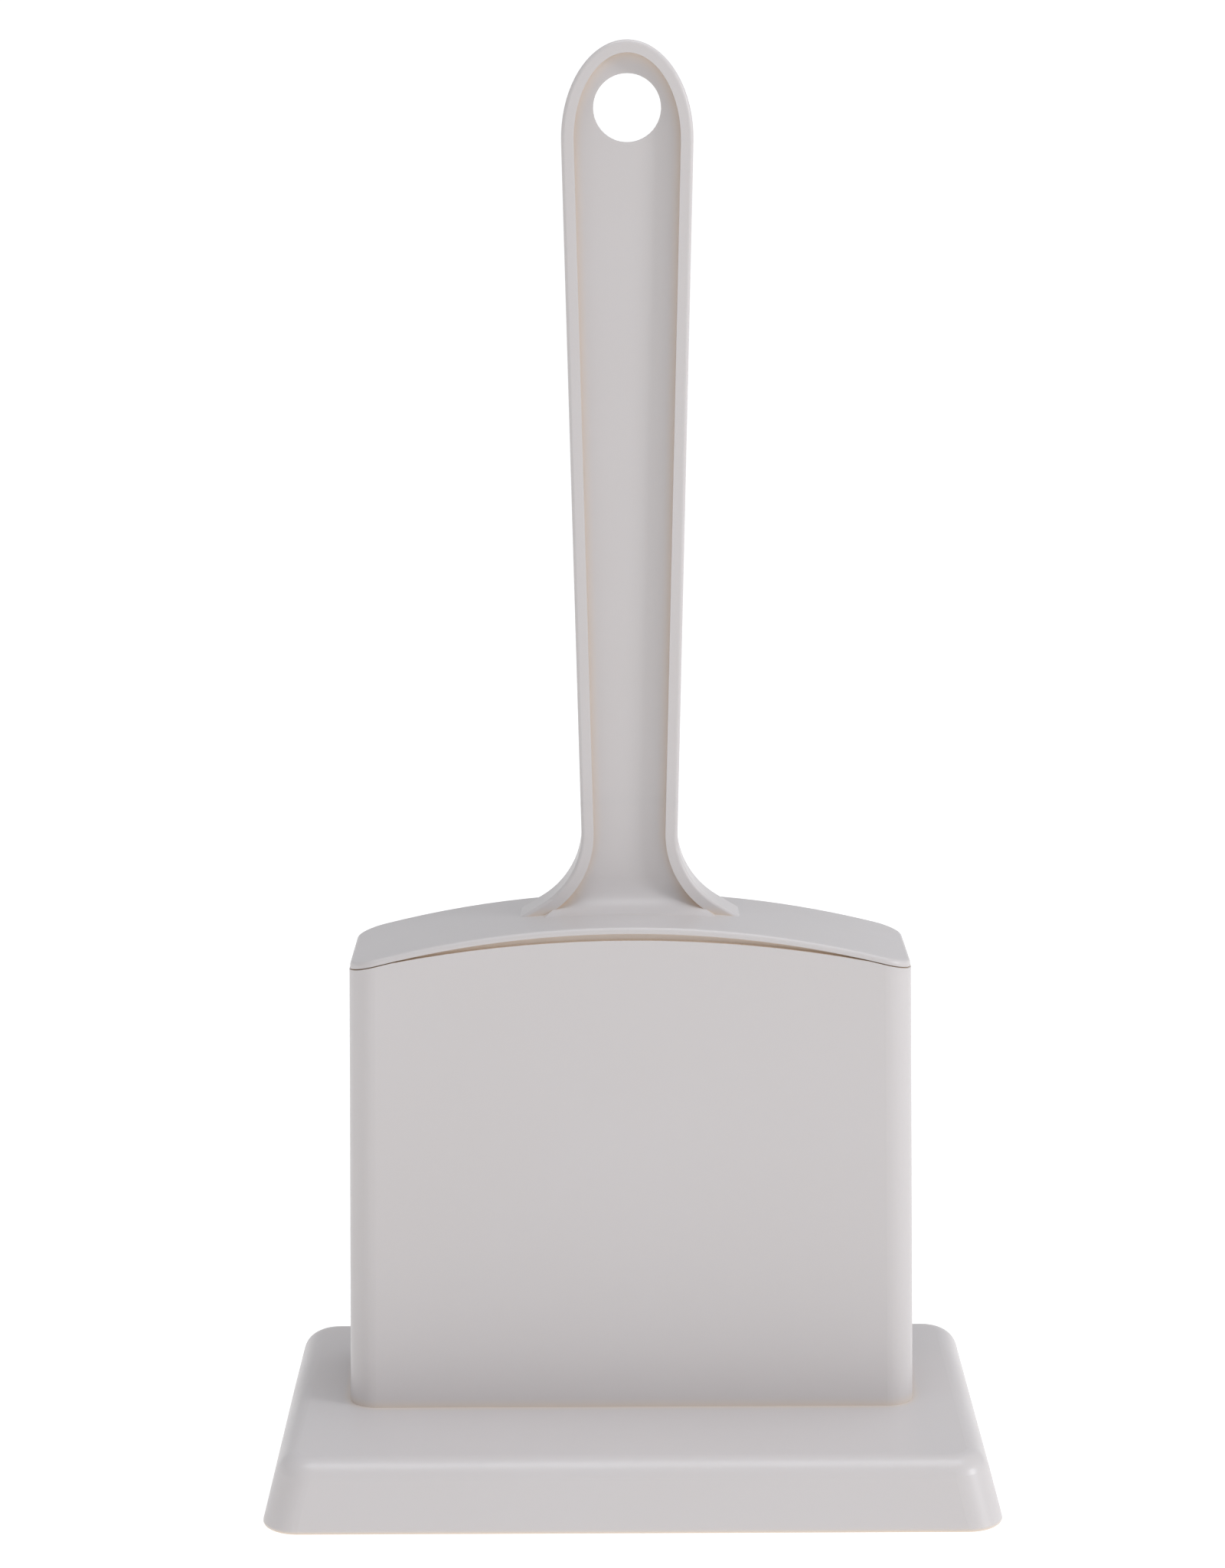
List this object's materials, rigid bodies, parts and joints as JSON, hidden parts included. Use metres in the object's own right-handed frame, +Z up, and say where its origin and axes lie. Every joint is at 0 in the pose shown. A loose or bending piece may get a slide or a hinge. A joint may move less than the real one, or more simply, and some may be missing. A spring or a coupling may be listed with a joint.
{
  "type": "litter scoop with stand",
  "caption": "Slotted litter scoop standing blade-down in a flared upright holder; the scoop's arched shoulder closes the sleeve like a lid.",
  "frame": {"origin": "centre of the foot's bottom face", "axes": "+Z up along the handle, -Y towards the front (the wide ledge of the foot), +X to the viewer's right"},
  "size_m": [0.1416, 0.0856, 0.2785],
  "materials": {
    "sleeve_plastic": "satin",
    "foot_plastic": "satin",
    "tray_plastic": "satin",
    "scoop_plastic": "satin"
  },
  "bodies": {
    "stand": {"foot": "foot_plastic", "sleeve": "sleeve_plastic", "catch_tray": "tray_plastic"},
    "scoop": {"scoop_blade": "scoop_plastic", "scoop_shoulder": "scoop_plastic", "scoop_grip": "scoop_plastic"}
  },
  "joints": [
    {"name": "scoop_lift", "type": "slide", "parent": "stand", "child": "scoop", "axis": [0, 0, 1], "range_m": [0, 0.11]}
  ]
}
